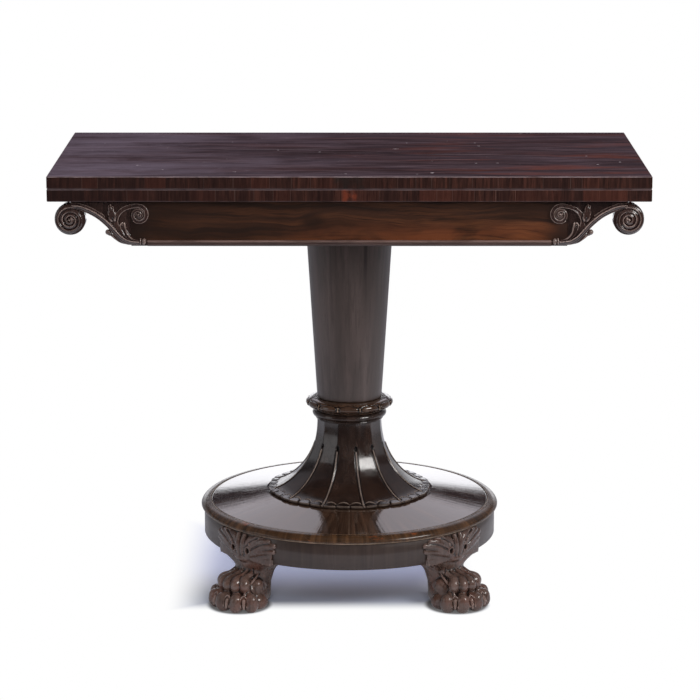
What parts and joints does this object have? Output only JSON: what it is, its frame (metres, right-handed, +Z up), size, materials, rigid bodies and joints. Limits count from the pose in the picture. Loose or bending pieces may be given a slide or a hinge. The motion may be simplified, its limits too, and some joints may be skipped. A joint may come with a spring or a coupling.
{
  "type": "tea table",
  "caption": "Fold-over swivel-top tea table: hinged rectangular leaves over a scroll-bracketed frieze, on a tapered round column, flared socle and round plinth with carved paw feet.",
  "frame": {"origin": "on the floor, under the middle of the column and of the round plinth", "axes": "+X along the long side of the top, to the right seen from the front; +Y to the back, where the leaves are hinged; +Z up"},
  "size_m": [0.97, 0.5102, 0.7357],
  "materials": {
    "rosewood_veneer": "worn wax polish over rosewood veneer",
    "carved_rosewood": "carved rosewood, semi-gloss polish",
    "carcass_mahogany": "unpolished mahogany carcass timber",
    "brass_fittings": "tarnished brass",
    "iron_fittings": "dark iron",
    "green_baize": "green wool baize"
  },
  "bodies": {
    "pedestal": {"bearer_screw_back_left": "iron_fittings", "bearer_screw_back_right": "iron_fittings", "bearer_screw_front_left": "iron_fittings", "bearer_screw_front_right": "iron_fittings", "carved_collar": "carved_rosewood", "column_bearer": "carcass_mahogany", "column_shaft": "rosewood_veneer", "column_tie_plate": "iron_fittings", "column_tie_screw": "iron_fittings", "foot_dowel_back_left": "carcass_mahogany", "foot_dowel_back_right": "carcass_mahogany", "foot_dowel_front_left": "carcass_mahogany", "foot_dowel_front_right": "carcass_mahogany", "frieze_back_rail": "rosewood_veneer", "frieze_bead_back": "rosewood_veneer", "frieze_bead_front": "rosewood_veneer", "frieze_bead_left": "rosewood_veneer", "frieze_bead_right": "rosewood_veneer", "frieze_cross_rail": "carcass_mahogany", "frieze_front_rail": "rosewood_veneer", "frieze_left_rail": "rosewood_veneer", "frieze_right_rail": "rosewood_veneer", "glide_strip_back": "green_baize", "glide_strip_front": "green_baize", "neck_ring": "rosewood_veneer", "paw_foot_back_left": "carved_rosewood", "paw_foot_back_right": "carved_rosewood", "paw_foot_front_left": "carved_rosewood", "paw_foot_front_right": "carved_rosewood", "pivot_bearing_ring": "brass_fittings", "pivot_board": "carcass_mahogany", "plinth_core": "carcass_mahogany", "plinth_rim_moulding": "rosewood_veneer", "plinth_side_band": "rosewood_veneer", "plinth_top_board": "rosewood_veneer", "scroll_bracket_front_left": "carved_rosewood", "scroll_bracket_front_right": "carved_rosewood", "socle": "carved_rosewood", "well_bottom_board": "carcass_mahogany"},
    "top": {"hinge_pin_left": "brass_fittings", "hinge_pin_right": "brass_fittings", "hinge_screw_lower_left_1": "brass_fittings", "hinge_screw_lower_left_2": "brass_fittings", "hinge_screw_lower_right_1": "brass_fittings", "hinge_screw_lower_right_2": "brass_fittings", "hinge_strap_lower_left": "brass_fittings", "hinge_strap_lower_right": "brass_fittings", "lower_leaf": "rosewood_veneer", "pivot_bolt": "iron_fittings", "pivot_nut": "iron_fittings", "pivot_plate": "iron_fittings", "pivot_washer": "iron_fittings", "stop_peg": "brass_fittings"},
    "leaf": {"hinge_screw_upper_left_1": "brass_fittings", "hinge_screw_upper_left_2": "brass_fittings", "hinge_screw_upper_right_1": "brass_fittings", "hinge_screw_upper_right_2": "brass_fittings", "hinge_strap_upper_left": "brass_fittings", "hinge_strap_upper_right": "brass_fittings", "upper_leaf": "rosewood_veneer"}
  },
  "joints": [
    {"name": "top_swivel", "type": "hinge", "parent": "pedestal", "child": "top", "pos_m": [0.12125, 0.12125, 0.6945], "axis": [0, 0, 1], "range_deg": [0, 90]},
    {"name": "leaf_fold", "type": "hinge", "parent": "top", "child": "leaf", "pos_m": [0, 0.2425, 0.7151], "axis": [-1, 0, 0], "range_deg": [0, 180]}
  ]
}
